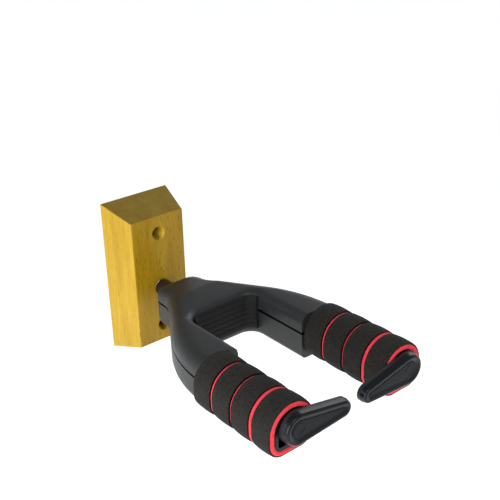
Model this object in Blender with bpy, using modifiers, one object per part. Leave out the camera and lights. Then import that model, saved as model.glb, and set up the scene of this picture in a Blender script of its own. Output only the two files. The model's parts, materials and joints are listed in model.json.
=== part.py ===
"""Wall hanger for a guitar, with a yoke that drops under load and closes two gates.

Frame: the origin is the middle of the wooden block's back face, on the wall. +X points to
the right for someone who faces the wall, +Y into the wall and +Z up. A "depth" below is a
distance out from the wall, so it is measured along -Y.

The yoke is drawn loaded: it stands at the bottom of its travel and the gates are closed.
"""
import math

import bmesh
import bpy
from mathutils import Matrix, Vector

MM = 0.001
GAP = 0.3 * MM                      # left between pieces that touch

# Wooden block: a low pyramid with its top cut off.
BLOCK_BACK = (51.0 * MM, 105.0 * MM)
BLOCK_FRONT = (39.5 * MM, 89.0 * MM)
BLOCK_DEPTH = 26.5 * MM
BLOCK_EDGE = 0.9 * MM
WALL_HOLE_HEIGHT = 33.0 * MM        # screw holes stand this far above and below the middle
WALL_HOLE_RADIUS = 3.0 * MM
COUNTERSINK_RADIUS = 4.8 * MM
COUNTERSINK_DEPTH = 3.0 * MM

# Swivel stack, along one axis out of the block.
SWIVEL_HEIGHT = -5.0 * MM
STUD_RADIUS = 3.0 * MM              # M6
STUD_START = 10.0 * MM
STUD_END = 61.0 * MM
INSERT_RADIUS = 5.0 * MM
INSERT_DEPTH = 17.0 * MM
SPACER_RADIUS = 5.5 * MM
SPACER_END = 42.6 * MM
THRUST_RADIUS = 6.5 * MM
THRUST_THICKNESS = 1.0 * MM
HUB_START = 44.2 * MM
HUB_HALF_WIDTH = 8.0 * MM
HUB_HALF_HEIGHT = 6.8 * MM
NUT_POCKET = (52.0 * MM, 62.5 * MM)
NUT_POCKET_HALF = (6.2 * MM, 5.7 * MM)
NUT_ACROSS_FLATS = 10.0 * MM
NUT_HEIGHT = 6.0 * MM
NUT_WASHER_RADIUS = 5.4 * MM
NUT_WASHER_THICKNESS = 1.2 * MM
STEM_START = 63.5 * MM
STEM_HALF_WIDTH = 6.0 * MM

# Lift fork: the part inside the yoke that stays at one height.
FORK_REAR = 75.5 * MM
FORK_FRONT = 86.5 * MM
FORK_REAR_HALF_WIDTH = 19.5 * MM
FORK_Z = (-9.0 * MM, 5.0 * MM)
LEG_X = (26.8 * MM, 30.5 * MM)
LEG_SHOULDER = 87.5 * MM
PLATE_DEPTH = (117.0 * MM, 120.2 * MM)
PLATE_HALF_WIDTH = 44.5 * MM
NOTCH_PLAY = 0.45 * MM              # around the crank pin, above and below
FORK_SCREW_X = 3.4 * MM
FORK_SCREW_HEAD = 2.4 * MM
FORK_SCREW_HEIGHT = 1.8 * MM
FORK_SCREW_RADIUS = 1.3 * MM
FORK_SCREW_LENGTH = 16.0 * MM
FORK_SCREW_SINK = 2.5 * MM
HUB_THREAD_LENGTH = 8.0 * MM
SOCKET_RADIUS = 1.25 * MM           # hexagon socket in every screw head
SOCKET_SHARE = 0.7                  # of the head's height

# Guide pins and return springs.
GUIDE_X = 13.0 * MM
GUIDE_DEPTH = 81.0 * MM
GUIDE_RADIUS = 2.0 * MM
GUIDE_SOCKET = 1.2 * MM
SPRING_RADIUS = 3.0 * MM
SPRING_WIRE = 0.35 * MM
SPRING_TURNS = 4.0
SPRING_POCKET_RADIUS = 4.2 * MM
SPRING_POCKET_FLOOR = -4.0 * MM

# Yoke shells: a hood over the hub that opens into two arms round the neck gap.
YOKE_TOP = 9.0 * MM
YOKE_BOTTOM = -20.5 * MM
SEAM_HEIGHT = -3.0 * MM
SHELL_WALL = 2.4 * MM
TOP_ROUNDING = 7.5 * MM
THROAT_ROUNDING = 5.5 * MM
BOTTOM_ROUNDING = 6.5 * MM
THROAT_FOOT_ROUNDING = 3.5 * MM
FLOOR_ROUNDING = 2.0 * MM           # inside, so that the wall keeps its thickness at the foot
SEAM_EASE = 0.45 * MM               # a small bevel on each shell along the seam
HOOD_HALF_WIDTH = 16.5 * MM
HOOD_REAR = 40.0 * MM
HOOD_CORNER = 9.0 * MM
HOOD_BLEND = 20.0 * MM
SLOPE_START = 66.0 * MM             # the hood's top falls from here to its rear end
SLOPE_DROP = 3.5 * MM
FLARE = 33.0                        # degrees between a flank and the middle line
YOKE_HALF_WIDTH = 51.0 * MM
YOKE_SIDE_RADIUS = 86.0 * MM
YOKE_FRONT = 135.7 * MM
CAVITY_FRONT = 127.5 * MM
THROAT_HALF_WIDTH = 24.0 * MM
THROAT_REAR = 90.0 * MM
THROAT_CORNER = 8.0 * MM
PAD_THICKNESS = 1.8 * MM
PAD_Z = (-15.5 * MM, 6.8 * MM)
BOSS_RADIUS = 3.2 * MM
BOSS_PLACES = ((9.6 * MM, 69.5 * MM), (36.0 * MM, 104.0 * MM))
SHELL_SCREW_RADIUS = 1.3 * MM
SHELL_SCREW_HEAD = 2.7 * MM
SHELL_SCREW_HEIGHT = 1.5 * MM
SHELL_SCREW_TOP = 4.0 * MM
SHELL_SCREW_SINK = 2.0 * MM

# Arms: a D-shaped beam, a red foam sleeve and black foam bands over it.
ARM_X = 40.5 * MM
ARM_HEIGHT = -4.0 * MM
SPIGOT_RADIUS = 7.5 * MM
SPIGOT_START = 127.9 * MM
BEAM_RADIUS = 11.2 * MM
BEAM_START = YOKE_FRONT + GAP
BEAM_END = 198.4 * MM
BEAM_BORE = 4.4 * MM
BEAM_RIM = 2.0 * MM
BEAM_RECESS = 3.5 * MM
BEAM_HUB = 6.6 * MM
FOAM_END = 198.7 * MM
BEAM_CORNER = 1.2 * MM
RED_RADIUS = 14.3 * MM
RED_CORNER = 8.5 * MM
BLACK_RADIUS = 15.4 * MM
FLAT_DROP = 0.6 * MM                # the flat underside lies this far inside the round
BAND_COUNT = 4
BAND_CUT = 0.9 * MM

# Gates and their shafts.
GATE_HEIGHT = -2.2 * MM             # a little above the arm's own axis
TRAVEL = 5.6 * MM                   # the yoke's drop, which turns the gates a quarter turn
CRANK_ARM = TRAVEL / math.sqrt(2.0)
SHAFT_RADIUS = 3.0 * MM
SHAFT_START = 122.5 * MM
SHAFT_END = 200.0 * MM
CRANK_RADIUS = 5.5 * MM
CRANK_DEPTH = (121.2 * MM, 125.5 * MM)
CRANK_WEB = 1.0 * MM
CRANK_PIN_RADIUS = 1.0 * MM
CRANK_PIN_START = 116.6 * MM
BUSH_FLANGE = 6.0 * MM
BUSH_FLANGE_THICKNESS = 0.9 * MM
BUSH_LENGTH = 5.5 * MM
BACK_DEPTH = (198.9 * MM, 201.2 * MM)
BACK_STEP = 1.0 * MM                # the front bush's flange stands in this
PADDLE_DEPTH = (201.5 * MM, 205.0 * MM)
PADDLE_LENGTH = 30.9 * MM           # pivot to the middle of the tip
PADDLE_ROOT = 9.6 * MM
PADDLE_TIP = 5.4 * MM
PADDLE_ROUNDING = 1.8 * MM
GATE_DROOP = 4.0                    # degrees that a shut gate's tip hangs below level
CAP_MARGIN = 4.2 * MM
CAP_THICKNESS = 1.1 * MM
GATE_SCREW_HEAD = 3.2 * MM
GATE_SCREW_HEIGHT = 0.8 * MM
GATE_SCREW_LENGTH = 9.0 * MM
SHAFT_THREAD_LENGTH = 10.0 * MM
GATE_SCREW_SEAT = 202.3 * MM
GATE_SCREW_RADIUS = 1.4 * MM

OUTWARD = (math.pi / 2, 0.0, 0.0)   # turns local +Z to point out of the wall, local +Y up
SIDES = (("left", -1.0), ("right", 1.0))


# ---------------------------------------------------------------- scene and materials

def clear_scene():
    for old in list(bpy.data.objects):
        bpy.data.objects.remove(old, do_unlink=True)


def new_collection(name):
    collection = bpy.data.collections.new(name)
    bpy.context.scene.collection.children.link(collection)
    return collection


def material(name, colour, roughness, metallic=0.0):
    made = bpy.data.materials.new(name)
    made.use_nodes = True
    shader = made.node_tree.nodes["Principled BSDF"]
    shader.inputs["Base Color"].default_value = (*colour, 1.0)
    shader.inputs["Roughness"].default_value = roughness
    shader.inputs["Metallic"].default_value = metallic
    return made


WOOD = ((0.62, 0.36, 0.06), 0.45, 0.0)
BLACK_PLASTIC = ((0.045, 0.045, 0.05), 0.38, 0.0)
SATIN_PLASTIC = ((0.055, 0.055, 0.06), 0.5, 0.0)
NYLON = ((0.75, 0.74, 0.70), 0.5, 0.0)
RUBBER = ((0.03, 0.03, 0.03), 0.8, 0.0)
BLACK_FOAM = ((0.025, 0.023, 0.022), 0.95, 0.0)
RED_FOAM = ((0.75, 0.05, 0.07), 0.85, 0.0)
STEEL = ((0.09, 0.09, 0.10), 0.4, 1.0)
CAST_METAL = ((0.35, 0.35, 0.37), 0.55, 1.0)
BRASS = ((0.75, 0.55, 0.25), 0.35, 1.0)


def empty(name, location, parent=None):
    made = bpy.data.objects.new(name, None)
    made.empty_display_size = 0.01
    made.location = location
    made.parent = parent
    PARTS.objects.link(made)
    return made


def part(name, mesh, look, parent, location=(0, 0, 0), rotation=(0, 0, 0)):
    """A named sub-part. Location is measured from its parent, which is never turned."""
    made = bpy.data.objects.new(name, mesh)
    made.location = location
    made.rotation_euler = rotation
    made.parent = parent
    made.data.materials.clear()
    made.data.materials.append(material(name, *look))
    PARTS.objects.link(made)
    return made


def guide(name, mesh, parent, location=(0, 0, 0), rotation=(0, 0, 0)):
    """A solid that only cuts or builds up another one."""
    made = bpy.data.objects.new(name, mesh)
    made.location = location
    made.rotation_euler = rotation
    made.parent = parent
    made.hide_render = True
    made.display_type = "WIRE"
    CUTTERS.objects.link(made)
    return made


def combine(target, tool, operation):
    modifier = target.modifiers.new(tool.name, "BOOLEAN")
    modifier.operation = operation
    modifier.solver = "EXACT"
    modifier.object = tool


# ---------------------------------------------------------------- shapes

def smooth(mesh, angle=40.0):
    mesh.shade_smooth()
    mesh.set_sharp_from_angle(angle=math.radians(angle))
    return mesh


def to_mesh(form, name="shape"):
    mesh = bpy.data.meshes.new(name)
    form.to_mesh(mesh)
    form.free()
    return smooth(mesh)


def evaluated_mesh(data):
    """The mesh that a curve, or a mesh with modifiers, comes to. It removes the holder."""
    holder = data if isinstance(data, bpy.types.Object) else bpy.data.objects.new("holder", data)
    bpy.context.scene.collection.objects.link(holder)
    view = bpy.context.evaluated_depsgraph_get()
    mesh = bpy.data.meshes.new_from_object(holder.evaluated_get(view))
    bpy.data.objects.remove(holder, do_unlink=True)
    return mesh


def box(low, high):
    form = bmesh.new()
    bmesh.ops.create_cube(form, size=1.0)
    low, high = Vector(low), Vector(high)
    for vert in form.verts:
        vert.co = [low[i] + (vert.co[i] + 0.5) * (high[i] - low[i]) for i in range(3)]
    return form


def cylinder(form, radius, start, end, x=0.0, y=0.0, sides=24):
    """Adds a cylinder that stands along local Z from start to end."""
    place = Matrix.Translation((x, y, (start + end) / 2))
    bmesh.ops.create_cone(form, cap_ends=True, segments=sides, radius1=radius,
                          radius2=radius, depth=end - start, matrix=place)


def rod(radius, start, end, sides=24):
    form = bmesh.new()
    cylinder(form, radius, start, end, sides=sides)
    return to_mesh(form)


def turned(profile, steps=24):
    """A turned solid. The (radius, height) profile runs down its outer side, then up the bore."""
    line = bpy.data.meshes.new("profile")
    points = [(radius, 0.0, height) for radius, height in profile]
    edges = [(i, (i + 1) % len(points)) for i in range(len(points))]
    if profile[0][0] == 0.0:
        edges.pop()
    line.from_pydata(points, edges, [])
    holder = bpy.data.objects.new("profile", line)
    screw = holder.modifiers.new("turn", "SCREW")
    screw.steps = screw.render_steps = steps
    screw.use_merge_vertices = True
    screw.merge_threshold = 0.00001
    return smooth(evaluated_mesh(holder))


def prism(outlines, start, end):
    """A flat outline, with any holes as further outlines, made solid along local Z."""
    curve = bpy.data.curves.new("outline", "CURVE")
    curve.dimensions = "2D"
    curve.fill_mode = "BOTH"
    curve.extrude = (end - start) / 2
    for outline in outlines:
        spline = curve.splines.new("POLY")
        spline.points.add(len(outline) - 1)
        for point, (x, y) in zip(spline.points, outline):
            point.co = (x, y, 0.0, 1.0)
        spline.use_cyclic_u = True
    form = bmesh.new()
    form.from_mesh(evaluated_mesh(curve))
    bmesh.ops.remove_doubles(form, verts=form.verts, dist=0.000001)
    bmesh.ops.translate(form, verts=form.verts, vec=(0, 0, (start + end) / 2))
    if len(outlines) == 1:
        bmesh.ops.dissolve_limit(form, angle_limit=math.radians(0.2), verts=form.verts,
                                 edges=form.edges)
    return form


def round_rim(form, height, radius, segments, skip=None):
    """Rounds the edges of the flat face at one height. skip(edge) leaves an edge sharp."""
    rim = [edge for edge in form.edges
           if all(abs(vert.co.z - height) < 0.00001 for vert in edge.verts)
           and edge.calc_face_angle(0.0) > 0.5 and not (skip and skip(edge))]
    bmesh.ops.bevel(form, geom=rim, offset=radius, offset_type="OFFSET", segments=segments,
                    profile=0.5, affect="EDGES", clamp_overlap=False)
    return form


def arc(x, y, radius, start, end, steps):
    """Points along an arc, both ends included. Angles are in degrees."""
    angles = [math.radians(start + (end - start) * i / steps) for i in range(steps + 1)]
    return [(x + radius * math.cos(a), y + radius * math.sin(a)) for a in angles]


def both_halves(half):
    """Closes an outline whose right half runs from the middle line to the middle line."""
    return half + [(-x, y) for x, y in reversed(half) if abs(x) > 0.000001]


def d_outline(radius, corner):
    """An arm's section: round on top, straight sides, a flat underside, rounded corners."""
    middle = radius - corner
    height = corner - (radius - FLAT_DROP)
    steps = 3 if corner < 3 * MM else 5
    return (arc(0, 0, radius, 0, 180, 15) + arc(-middle, height, corner, 180, 270, steps)
            + arc(middle, height, corner, 270, 360, steps))


def teardrop(root, tip, length, steps=14):
    """Two circles, length apart along +X, and their outer tangents."""
    lean = math.degrees(math.acos((root - tip) / length))
    return arc(0, 0, root, lean, 360 - lean, steps) + arc(length, 0, tip, -lean, lean, steps // 2)


def yoke_outline(inset, front):
    """The yoke from above: hood, straight flanks, curved sides and arm roots, all set in."""
    flare = math.radians(FLARE)
    side_x = YOKE_HALF_WIDTH - YOKE_SIDE_RADIUS
    side_depth = YOKE_FRONT + GAP
    flank_x = side_x + YOKE_SIDE_RADIUS * math.cos(flare)
    flank_depth = side_depth - YOKE_SIDE_RADIUS * math.sin(flare)
    meeting = flank_depth - (flank_x - HOOD_HALF_WIDTH) / math.tan(flare)
    blend_depth = meeting - HOOD_BLEND * math.tan(flare / 2)
    side_end = math.degrees(math.asin((front - side_depth) / (YOKE_SIDE_RADIUS - inset)))
    half = [(0.0, HOOD_REAR + inset)]
    half += arc(HOOD_HALF_WIDTH - HOOD_CORNER, HOOD_REAR + HOOD_CORNER, HOOD_CORNER - inset,
                -90, 0, 5)
    half += arc(HOOD_HALF_WIDTH + HOOD_BLEND, blend_depth, HOOD_BLEND + inset, 180,
                180 - FLARE, 5)
    half += arc(side_x, side_depth, YOKE_SIDE_RADIUS - inset, -FLARE, side_end, 10)
    half += [(THROAT_HALF_WIDTH + inset, front)]
    half += arc(THROAT_HALF_WIDTH - THROAT_CORNER, THROAT_REAR + THROAT_CORNER,
                THROAT_CORNER + inset, 0, -90, 6)
    half += [(0.0, THROAT_REAR - inset)]
    return [(x, -depth) for x, depth in both_halves(half)]


# ---------------------------------------------------------------- block and swivel

def make_block(wall):
    form = box((-0.5, -BLOCK_DEPTH, -0.5), (0.5, 0.0, 0.5))
    for vert in form.verts:
        width, height = BLOCK_BACK if vert.co.y > -BLOCK_DEPTH / 2 else BLOCK_FRONT
        vert.co.x *= width
        vert.co.z *= height
    block = part("wall_block", to_mesh(form), WOOD, wall)
    edge = block.modifiers.new("eased_edges", "BEVEL")
    edge.width = BLOCK_EDGE
    edge.segments = 2
    hole = [(0.0, BLOCK_DEPTH + MM), (COUNTERSINK_RADIUS, BLOCK_DEPTH + MM),
            (COUNTERSINK_RADIUS, BLOCK_DEPTH),
            (WALL_HOLE_RADIUS, BLOCK_DEPTH - COUNTERSINK_DEPTH), (WALL_HOLE_RADIUS, -MM),
            (0.0, -MM)]
    for name, height in (("low", -WALL_HOLE_HEIGHT), ("high", WALL_HOLE_HEIGHT)):
        cutter = guide(f"wall_screw_hole_{name}", turned(hole), wall, (0, 0, height), OUTWARD)
        combine(block, cutter, "DIFFERENCE")
    seat = guide("insert_seat", rod(INSERT_RADIUS + GAP, BLOCK_DEPTH - INSERT_DEPTH - GAP,
                                    BLOCK_DEPTH + MM), wall, (0, 0, SWIVEL_HEIGHT), OUTWARD)
    combine(block, seat, "DIFFERENCE")


def ring(name, look, parent, outer, bore, start, end, centre=(0, 0, 0), edge=0.0):
    """A washer, sleeve or collar along a swivel or gate axis, between two depths."""
    profile = [(outer - edge, end), (outer, end - edge), (outer, start + edge),
               (outer - edge, start), (bore, start), (bore, end)]
    if edge == 0.0:
        profile = [profile[1], profile[2], profile[4], profile[5]]
    return part(name, turned(profile), look, parent, location=centre, rotation=OUTWARD)


def make_swivel_stack(wall, swivel):
    """The fixed stud with what is threaded on it, and the thrust washer that turns."""
    bore = STUD_RADIUS + GAP
    axis = (0, 0, SWIVEL_HEIGHT)
    ring("threaded_insert", BRASS, wall, INSERT_RADIUS, bore, BLOCK_DEPTH - INSERT_DEPTH,
         BLOCK_DEPTH - GAP, axis, 0.5 * MM)
    part("pivot_stud", rod(STUD_RADIUS, STUD_START, STUD_END), STEEL, wall, axis, OUTWARD)
    ring("spacer_sleeve", STEEL, wall, SPACER_RADIUS, bore, BLOCK_DEPTH + GAP, SPACER_END,
         axis, 0.4 * MM)
    washer_start = NUT_POCKET[0] + GAP
    washer_end = washer_start + NUT_WASHER_THICKNESS
    ring("nut_washer", STEEL, wall, NUT_WASHER_RADIUS, bore, washer_start, washer_end, axis)
    hexagon = bmesh.new()
    cylinder(hexagon, NUT_ACROSS_FLATS / math.sqrt(3.0), washer_end + GAP,
             washer_end + GAP + NUT_HEIGHT, sides=6)
    nut = part("lock_nut", to_mesh(hexagon), STEEL, wall, axis, (math.pi / 2, math.pi / 6, 0))
    thread = guide("nut_thread", rod(bore, NUT_POCKET[0], NUT_POCKET[1]), wall, axis, OUTWARD)
    combine(nut, thread, "DIFFERENCE")
    ring("thrust_washer", NYLON, swivel, THRUST_RADIUS, bore, SPACER_END + GAP,
         SPACER_END + GAP + THRUST_THICKNESS)


def make_hub(swivel):
    """The casting that turns on the stud: a hollow head for the nut and a narrower stem."""
    stem_front = FORK_REAR - GAP
    outline = both_halves([(0.0, HUB_START), (HUB_HALF_WIDTH - MM, HUB_START),
                           (HUB_HALF_WIDTH, HUB_START + MM),
                           (HUB_HALF_WIDTH, STEM_START), (STEM_HALF_WIDTH, STEM_START + 2 * MM),
                           (STEM_HALF_WIDTH, stem_front), (0.0, stem_front)])
    outline = [(x, -depth) for x, depth in outline]
    form = prism([outline], -HUB_HALF_HEIGHT, HUB_HALF_HEIGHT)
    hub = part("swivel_hub", to_mesh(form), CAST_METAL, swivel)
    half_width, half_height = NUT_POCKET_HALF
    pocket = box((-half_width, -NUT_POCKET[1], -half_height),
                 (half_width, -NUT_POCKET[0], HUB_HALF_HEIGHT + MM))
    combine(hub, guide("nut_pocket", to_mesh(pocket), swivel), "DIFFERENCE")
    bores = bmesh.new()
    cylinder(bores, STUD_RADIUS + GAP, HUB_START - MM, NUT_POCKET[0] + MM)
    for side in (-1, 1):
        cylinder(bores, FORK_SCREW_RADIUS + GAP, stem_front - HUB_THREAD_LENGTH, stem_front + MM,
                 x=side * FORK_SCREW_X, sides=14)
    combine(hub, guide("hub_bores", to_mesh(bores), swivel, rotation=OUTWARD), "DIFFERENCE")


def make_fork(swivel):
    """The fork that reaches round the throat to a notched plate behind each gate crank."""
    half = [(0.0, FORK_REAR), (FORK_REAR_HALF_WIDTH, FORK_REAR), (LEG_X[1], LEG_SHOULDER),
            (LEG_X[1], PLATE_DEPTH[0]), (PLATE_HALF_WIDTH, PLATE_DEPTH[0]),
            (PLATE_HALF_WIDTH, PLATE_DEPTH[1]), (LEG_X[0], PLATE_DEPTH[1]),
            (LEG_X[0], FORK_FRONT), (0.0, FORK_FRONT)]
    outline = [(x, -depth) for x, depth in both_halves(half)]
    low, high = (height - SWIVEL_HEIGHT for height in FORK_Z)
    fork = part("lift_fork", to_mesh(prism([outline], low, high)), CAST_METAL, swivel)

    upright = bmesh.new()
    for side in (-1, 1):
        x = side * GUIDE_X
        cylinder(upright, GUIDE_RADIUS + GAP, low - MM, SPRING_POCKET_FLOOR - SWIVEL_HEIGHT + MM,
                 x=x, y=-GUIDE_DEPTH, sides=20)
    combine(fork, guide("guide_holes", to_mesh(upright), swivel), "DIFFERENCE")
    pockets = bmesh.new()
    for side in (-1, 1):
        cylinder(pockets, SPRING_POCKET_RADIUS, SPRING_POCKET_FLOOR - SWIVEL_HEIGHT, high + MM,
                 x=side * GUIDE_X, y=-GUIDE_DEPTH, sides=20)
    combine(fork, guide("spring_pockets", to_mesh(pockets), swivel), "DIFFERENCE")

    screws = bmesh.new()
    for side in (-1, 1):
        cylinder(screws, FORK_SCREW_RADIUS + GAP, FORK_REAR - MM, FORK_FRONT + MM,
                 x=side * FORK_SCREW_X, sides=14)
    combine(fork, guide("fork_screw_holes", to_mesh(screws), swivel, rotation=OUTWARD),
            "DIFFERENCE")
    heads = bmesh.new()
    for side in (-1, 1):
        cylinder(heads, FORK_SCREW_HEAD + GAP, FORK_FRONT - FORK_SCREW_SINK, FORK_FRONT + MM,
                 x=side * FORK_SCREW_X, sides=14)
    combine(fork, guide("fork_screw_seats", to_mesh(heads), swivel, rotation=OUTWARD),
            "DIFFERENCE")

    crank_height = GATE_HEIGHT + CRANK_ARM * math.sin(math.radians(45)) - SWIVEL_HEIGHT
    reach = CRANK_PIN_RADIUS + NOTCH_PLAY
    for name, side in SIDES:
        inner = side * (ARM_X + CRANK_ARM * math.cos(math.radians(45)) - reach - NOTCH_PLAY)
        outer = side * (PLATE_HALF_WIDTH + MM)
        notch = box((min(inner, outer), -PLATE_DEPTH[1] - MM, crank_height - reach),
                    (max(inner, outer), -PLATE_DEPTH[0] + MM, crank_height + reach))
        combine(fork, guide(f"crank_notch_{name}", to_mesh(notch), swivel), "DIFFERENCE")


def make_screw(name, parent, head, shank, location, rotation):
    """A pan-head screw: its seat is at height 0, the head above it and the shank below.

    Head and shank are each a radius and a length.
    """
    head_radius, height = head
    shank_radius, length = shank
    ease = 0.3 * MM
    profile = [(0.0, height), (head_radius - ease, height), (head_radius, height - ease),
               (head_radius, 0.0), (shank_radius, 0.0), (shank_radius, -length + ease),
               (shank_radius - ease, -length), (0.0, -length)]
    screw = part(name, turned(profile, 14), STEEL, parent, location, rotation)
    hexagon = bmesh.new()
    cylinder(hexagon, SOCKET_RADIUS, height * (1 - SOCKET_SHARE), height + MM, sides=6)
    socket = guide(f"{name}_socket", to_mesh(hexagon), parent, location, rotation)
    combine(screw, socket, "DIFFERENCE")


def make_fork_screws(swivel):
    seat = FORK_FRONT - FORK_SCREW_SINK + GAP
    for name, side in SIDES:
        make_screw(f"fork_screw_{name}", swivel, (FORK_SCREW_HEAD, FORK_SCREW_HEIGHT),
                   (FORK_SCREW_RADIUS, FORK_SCREW_LENGTH), (side * FORK_SCREW_X, -seat, 0),
                   OUTWARD)


def make_springs(swivel):
    bottom = SPRING_POCKET_FLOOR + GAP + SPRING_WIRE
    top = YOKE_TOP - SHELL_WALL - GAP - SPRING_WIRE
    per_turn = 9
    count = int(SPRING_TURNS * per_turn)
    for name, side in SIDES:
        curve = bpy.data.curves.new("coil", "CURVE")
        curve.dimensions = "3D"
        curve.bevel_depth = SPRING_WIRE
        curve.bevel_resolution = 2
        curve.use_fill_caps = True
        coil = curve.splines.new("POLY")
        coil.points.add(count)
        for i, point in enumerate(coil.points):
            turn = 2 * math.pi * i / per_turn
            rise = (top - bottom) * i / count
            point.co = (SPRING_RADIUS * math.cos(turn), SPRING_RADIUS * math.sin(turn), rise, 1)
        form = bmesh.new()
        form.from_mesh(evaluated_mesh(curve))
        bmesh.ops.remove_doubles(form, verts=form.verts, dist=0.000001)
        place = (side * GUIDE_X, -GUIDE_DEPTH, bottom - SWIVEL_HEIGHT)
        part(f"return_spring_{name}", to_mesh(form), STEEL, swivel, place)


# ---------------------------------------------------------------- yoke

def boss_places():
    return [(side * x, -depth) for x, depth in BOSS_PLACES for side in (-1, 1)]


def slope_hood(form):
    """Lowers what stands above the seam, more and more towards the rear end."""
    bmesh.ops.bisect_plane(form, geom=form.verts[:] + form.edges[:] + form.faces[:],
                           plane_co=(0, -SLOPE_START, 0), plane_no=(0, 1, 0))
    for vert in form.verts:
        behind = max(0.0, vert.co.y + SLOPE_START) / (SLOPE_START - HOOD_REAR)
        above = max(0.0, vert.co.z - SEAM_HEIGHT - GAP) / (YOKE_TOP - SEAM_HEIGHT - GAP)
        vert.co.z -= SLOPE_DROP * behind * above
    return form


def make_shells(yoke):
    """The two shells share one cavity, which the hub and the fork fill."""
    def on_end(edge):
        first, second = (vert.co.y for vert in edge.verts)
        return first < 0.00001 - CAVITY_FRONT and abs(first - second) < 0.00001

    def in_throat(edge):
        return all(abs(vert.co.x) < THROAT_HALF_WIDTH + SHELL_WALL + MM
                   and vert.co.y < MM + SHELL_WALL - THROAT_REAR for vert in edge.verts)

    def end_or_throat(edge):
        return on_end(edge) or in_throat(edge)

    def end_or_outside(edge):
        return on_end(edge) or not in_throat(edge)

    seam_top, seam_low = SEAM_HEIGHT + GAP / 2, SEAM_HEIGHT - GAP / 2
    outline = yoke_outline(0.0, YOKE_FRONT)
    form = prism([outline], seam_top, YOKE_TOP)
    form = round_rim(form, YOKE_TOP, THROAT_ROUNDING, 3, end_or_outside)
    form = round_rim(form, YOKE_TOP, TOP_ROUNDING, 4, end_or_throat)
    form = round_rim(form, seam_top, SEAM_EASE, 1, on_end)
    upper = part("yoke_shell_upper", to_mesh(slope_hood(form)), SATIN_PLASTIC, yoke)
    form = prism([outline], YOKE_BOTTOM, seam_low)
    form = round_rim(form, YOKE_BOTTOM, THROAT_FOOT_ROUNDING, 3, end_or_outside)
    form = round_rim(form, YOKE_BOTTOM, BOTTOM_ROUNDING, 4, end_or_throat)
    form = round_rim(form, seam_low, SEAM_EASE, 1, on_end)
    lower = part("yoke_shell_lower", to_mesh(form), SATIN_PLASTIC, yoke)

    floor, ceiling = YOKE_BOTTOM + SHELL_WALL, YOKE_TOP - SHELL_WALL
    hollow = prism([yoke_outline(SHELL_WALL, CAVITY_FRONT)], floor, ceiling)
    hollow = round_rim(hollow, ceiling, TOP_ROUNDING - SHELL_WALL, 3, end_or_throat)
    hollow = round_rim(hollow, floor, FLOOR_ROUNDING, 2, end_or_throat)
    cavity = guide("yoke_cavity", to_mesh(slope_hood(hollow)), yoke)
    combine(upper, cavity, "DIFFERENCE")
    combine(lower, cavity, "DIFFERENCE")

    for shell, name, low, high in ((upper, "upper", seam_top, ceiling + MM),
                                   (lower, "lower", floor - MM, seam_low)):
        bosses = bmesh.new()
        for x, y in boss_places():
            cylinder(bosses, BOSS_RADIUS, low, high, x=x, y=y, sides=18)
        combine(shell, guide(f"screw_bosses_{name}", to_mesh(bosses), yoke), "UNION")

    seat = YOKE_BOTTOM + SHELL_SCREW_SINK
    for shell, name, low, high in ((upper, "upper", seam_top - MM, SHELL_SCREW_TOP + GAP),
                                   (lower, "lower", seat - MM, seam_low + MM)):
        holes = bmesh.new()
        for x, y in boss_places():
            cylinder(holes, SHELL_SCREW_RADIUS + GAP, low, high, x=x, y=y, sides=14)
        combine(shell, guide(f"screw_holes_{name}", to_mesh(holes), yoke), "DIFFERENCE")
    heads = bmesh.new()
    for x, y in boss_places():
        cylinder(heads, SHELL_SCREW_HEAD + GAP, YOKE_BOTTOM - MM, seat, x=x, y=y, sides=16)
    combine(lower, guide("screw_head_seats", to_mesh(heads), yoke), "DIFFERENCE")

    sockets = bmesh.new()
    spigots = bmesh.new()
    for side in (-1, 1):
        cylinder(sockets, GUIDE_RADIUS + GAP, floor - GUIDE_SOCKET - GAP,
                 ceiling + GUIDE_SOCKET + GAP, x=side * GUIDE_X, y=-GUIDE_DEPTH, sides=20)
        cylinder(spigots, SPIGOT_RADIUS + GAP, CAVITY_FRONT - MM, YOKE_FRONT + MM,
                 x=side * ARM_X, y=GATE_HEIGHT)
    slot_low = SWIVEL_HEIGHT - TRAVEL - SPACER_RADIUS - 0.5 * MM
    slot_high = SWIVEL_HEIGHT + SPACER_RADIUS + 0.5 * MM
    slot_half = SPACER_RADIUS + 0.6 * MM
    slot = box((-slot_half, -HOOD_REAR - SHELL_WALL - MM, slot_low),
               (slot_half, -HOOD_REAR + MM, slot_high))
    tools = (guide("guide_pin_sockets", to_mesh(sockets), yoke),
             guide("spigot_bores", to_mesh(spigots), yoke, rotation=OUTWARD),
             guide("stud_slot", to_mesh(slot), yoke))
    for tool in tools:
        combine(upper, tool, "DIFFERENCE")
        combine(lower, tool, "DIFFERENCE")


def make_shell_fittings(yoke):
    floor, ceiling = YOKE_BOTTOM + SHELL_WALL, YOKE_TOP - SHELL_WALL
    for name, side in SIDES:
        pin = rod(GUIDE_RADIUS, floor - GUIDE_SOCKET, ceiling + GUIDE_SOCKET, 28)
        part(f"guide_pin_{name}", pin, STEEL, yoke, (side * GUIDE_X, -GUIDE_DEPTH, 0))
    seat = YOKE_BOTTOM + SHELL_SCREW_SINK - GAP
    for index, (x, y) in enumerate(boss_places(), start=1):
        make_screw(f"shell_screw_{index}", yoke, (SHELL_SCREW_HEAD, SHELL_SCREW_HEIGHT),
                   (SHELL_SCREW_RADIUS, SHELL_SCREW_TOP - seat), (x, y, seat),
                   (math.pi, 0, 0))


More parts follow.
